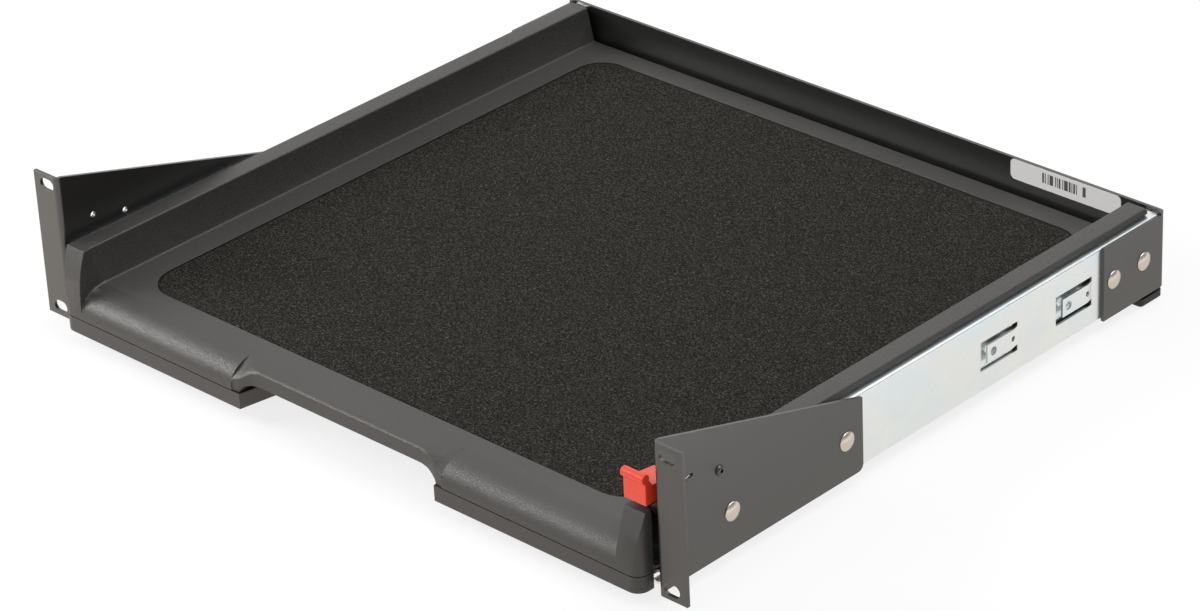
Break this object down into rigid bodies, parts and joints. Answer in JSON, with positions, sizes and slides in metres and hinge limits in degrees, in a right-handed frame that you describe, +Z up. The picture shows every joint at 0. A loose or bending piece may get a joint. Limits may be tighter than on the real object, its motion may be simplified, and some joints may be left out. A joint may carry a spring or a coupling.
{
  "type": "rack shelf",
  "caption": "Sliding rack shelf: moulded tray with a carpet mat and hand recess on full-extension ball slides between flanged steel brackets, with a red release latch.",
  "frame": {"origin": "centre of the four rack slots, on the front face of the ears", "axes": "+X to the right seen from the front, +Y into the rack, +Z up"},
  "size_m": [0.4826, 0.4189, 0.0939],
  "materials": {
    "steel": "fine textured black powder coat",
    "zinc": "pale zinc plating",
    "nickel": "satin nickel plating",
    "bearing_steel": "polished",
    "black_steel": "black oxide",
    "tray_plastic": "lightly grained charcoal plastic",
    "carpet": "dense black needle felt",
    "red_plastic": "smooth red plastic",
    "rubber": "matte black rubber",
    "label": "printed label, white",
    "black_plastic": "moulded black plastic",
    "spring_steel": "bright drawn wire"
  },
  "bodies": {
    "frame": {"right_rack_bracket": "steel", "left_rack_bracket": "steel", "rear_panel": "steel", "rear_feet": "rubber", "rear_sticker": "label", "bracket_rivets": "nickel", "panel_rivets": "nickel", "right_outer_rail": "zinc", "left_outer_rail": "zinc", "rail_bumpers": "black_plastic", "latch_pivot_sleeve": "nickel", "latch_pivot_screw": "black_steel", "latch_spring": "spring_steel"},
    "tray": {"tray_top": "tray_plastic", "tray_base": "tray_plastic", "tray_screws": "black_steel", "carpet_mat": "carpet", "right_inner_rail": "zinc", "left_inner_rail": "zinc", "rail_screws": "nickel"},
    "latch": {"release_latch": "red_plastic"},
    "right_middle": {"right_middle_rail": "zinc"},
    "right_outer_cage": {"right_outer_ball_cage": "zinc", "right_outer_balls": "bearing_steel"},
    "right_inner_cage": {"right_inner_ball_cage": "zinc", "right_inner_balls": "bearing_steel"},
    "left_middle": {"left_middle_rail": "zinc"},
    "left_outer_cage": {"left_outer_ball_cage": "zinc", "left_outer_balls": "bearing_steel"},
    "left_inner_cage": {"left_inner_ball_cage": "zinc", "left_inner_balls": "bearing_steel"}
  },
  "joints": [
    {"name": "tray_slide", "type": "slide", "parent": "frame", "child": "tray", "axis": [0, -1, 0], "range_m": [0, 0.4]},
    {"name": "right_middle_slide", "type": "slide", "parent": "frame", "child": "right_middle", "axis": [0, -1, 0], "range_m": [0, 0.2]},
    {"name": "right_outer_cage_slide", "type": "slide", "parent": "frame", "child": "right_outer_cage", "axis": [0, -1, 0], "range_m": [0, 0.1]},
    {"name": "right_inner_cage_slide", "type": "slide", "parent": "frame", "child": "right_inner_cage", "axis": [0, -1, 0], "range_m": [0, 0.3]},
    {"name": "left_middle_slide", "type": "slide", "parent": "frame", "child": "left_middle", "axis": [0, -1, 0], "range_m": [0, 0.2]},
    {"name": "left_outer_cage_slide", "type": "slide", "parent": "frame", "child": "left_outer_cage", "axis": [0, -1, 0], "range_m": [0, 0.1]},
    {"name": "left_inner_cage_slide", "type": "slide", "parent": "frame", "child": "left_inner_cage", "axis": [0, -1, 0], "range_m": [0, 0.3]},
    {"name": "latch_hinge", "type": "hinge", "parent": "frame", "child": "latch", "pos_m": [0.22, 0.0452, 0.00725], "axis": [-1, 0, 0], "range_deg": [0, 12], "stiffness_Nm_per_rad": 0.12, "springref_deg": -20.05, "deforming": ["latch_spring"]}
  ],
  "couplings": [
    {"joint": "right_middle_slide", "follows": "tray_slide", "ratio": 0.5},
    {"joint": "right_outer_cage_slide", "follows": "tray_slide", "ratio": 0.25},
    {"joint": "right_inner_cage_slide", "follows": "tray_slide", "ratio": 0.75},
    {"joint": "left_middle_slide", "follows": "tray_slide", "ratio": 0.5},
    {"joint": "left_outer_cage_slide", "follows": "tray_slide", "ratio": 0.25},
    {"joint": "left_inner_cage_slide", "follows": "tray_slide", "ratio": 0.75}
  ]
}
